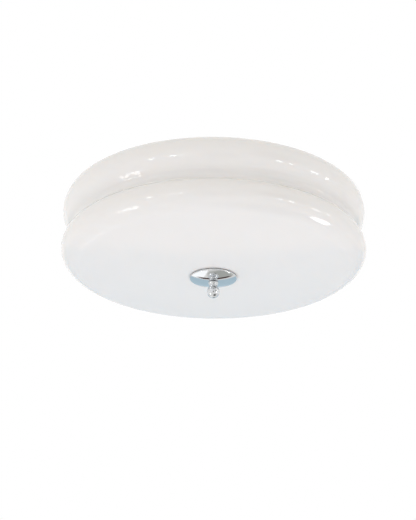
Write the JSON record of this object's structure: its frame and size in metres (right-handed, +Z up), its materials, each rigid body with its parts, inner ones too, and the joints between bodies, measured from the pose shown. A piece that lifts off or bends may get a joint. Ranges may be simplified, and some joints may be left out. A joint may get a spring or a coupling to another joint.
{
  "type": "flush mount ceiling light",
  "caption": "Round flush ceiling light: a two-bead opal glass drum under a ceiling pan, held by a polished cap and ball finial.",
  "frame": {"origin": "centre of the fixing slots, in the ceiling plane, on the lamp's centre line", "axes": "+Z up into the ceiling, +X along the mounting strap, +Y towards the terminal block"},
  "size_m": [0.38, 0.38, 0.1315],
  "materials": {
    "opal_glass": "glossy opal white cased glass",
    "chrome": "polished chrome plating",
    "pan_paint": "white powder coat",
    "zinc_steel": "zinc plated steel",
    "rod_steel": "zinc plated threaded steel",
    "foam": "closed cell foam",
    "clear_washer": "translucent soft plastic",
    "nylon": "natural nylon",
    "rubber": "black rubber",
    "porcelain": "white glazed porcelain",
    "brass": "plain brass",
    "nickel": "bright nickel look",
    "bulb_plastic": "white plastic",
    "bulb_opal": "opal plastic",
    "insulator": "black glass-like insulator",
    "block_plastic": "natural white plastic",
    "lead_brown": "brown insulation",
    "lead_blue": "blue insulation",
    "lead_earth": "green and yellow insulation"
  },
  "bodies": {
    "ceiling_mount": {"block_screws": "zinc_steel", "bracket_nuts": "zinc_steel", "bracket_screws": "zinc_steel", "ceiling_pan": "pan_paint", "earth_lead": "lead_earth", "earth_nut": "brass", "earth_screw": "brass", "earth_terminal": "nickel", "hanger_rod": "rod_steel", "holder_screws": "zinc_steel", "lampholder_body_1": "porcelain", "lampholder_body_2": "porcelain", "lampholder_body_3": "porcelain", "lampholder_bracket_1": "zinc_steel", "lampholder_bracket_2": "zinc_steel", "lampholder_bracket_3": "zinc_steel", "lead_grommets": "rubber", "live_leads": "lead_brown", "mounting_strap": "zinc_steel", "neutral_leads": "lead_blue", "pan_screws": "zinc_steel", "pan_thumb_nuts": "chrome", "rim_gasket": "foam", "rod_lock_washers": "zinc_steel", "rod_nuts": "zinc_steel", "screw_shell_1": "nickel", "screw_shell_2": "nickel", "screw_shell_3": "nickel", "stop_nut": "zinc_steel", "stop_washer": "zinc_steel", "terminal_block": "block_plastic", "terminal_screws": "zinc_steel"},
    "shade": {"glass_shade": "opal_glass", "glass_bush": "nylon"},
    "cap": {"finial_cap": "chrome", "cap_washer": "clear_washer"},
    "finial": {"finial_knob": "chrome"},
    "bulb_1": {"bulb_globe_1": "bulb_opal", "bulb_collar_1": "bulb_plastic", "bulb_cap_1": "nickel", "bulb_tip_1": "insulator"},
    "bulb_2": {"bulb_globe_2": "bulb_opal", "bulb_collar_2": "bulb_plastic", "bulb_cap_2": "nickel", "bulb_tip_2": "insulator"},
    "bulb_3": {"bulb_globe_3": "bulb_opal", "bulb_collar_3": "bulb_plastic", "bulb_cap_3": "nickel", "bulb_tip_3": "insulator"},
    "contact_1": {"centre_contact_1": "brass"},
    "contact_2": {"centre_contact_2": "brass"},
    "contact_3": {"centre_contact_3": "brass"}
  },
  "joints": [
    {"name": "shade_lowering", "type": "slide", "parent": "ceiling_mount", "child": "shade", "axis": [0, 0, -1], "range_m": [0, 0.15]},
    {"name": "cap_travel", "type": "slide", "parent": "shade", "child": "cap", "axis": [0, 0, -1], "range_m": [0, 0.008]},
    {"name": "finial_turn", "type": "hinge", "parent": "cap", "child": "finial", "pos_m": [0, 0, -0.1235], "axis": [0, 0, -1], "range_deg": [0, 2880]},
    {"name": "bulb_1_removal", "type": "slide", "parent": "ceiling_mount", "child": "bulb_1", "axis": [0, 1, 0], "range_m": [0, 0.027]},
    {"name": "bulb_2_removal", "type": "slide", "parent": "ceiling_mount", "child": "bulb_2", "axis": [-0.866, -0.5, 0], "range_m": [0, 0.027]},
    {"name": "bulb_3_removal", "type": "slide", "parent": "ceiling_mount", "child": "bulb_3", "axis": [0.866, -0.5, 0], "range_m": [0, 0.027]},
    {"name": "contact_1_press", "type": "slide", "parent": "ceiling_mount", "child": "contact_1", "axis": [0, -1, 0], "range_m": [0, 0.0012], "stiffness_N_per_m": 500},
    {"name": "contact_2_press", "type": "slide", "parent": "ceiling_mount", "child": "contact_2", "axis": [0.866, 0.5, 0], "range_m": [0, 0.0012], "stiffness_N_per_m": 500},
    {"name": "contact_3_press", "type": "slide", "parent": "ceiling_mount", "child": "contact_3", "axis": [-0.866, 0.5, 0], "range_m": [0, 0.0012], "stiffness_N_per_m": 500}
  ],
  "couplings": [
    {"joint": "finial_turn", "follows": "cap_travel", "rad_per_m": 6283.2}
  ]
}
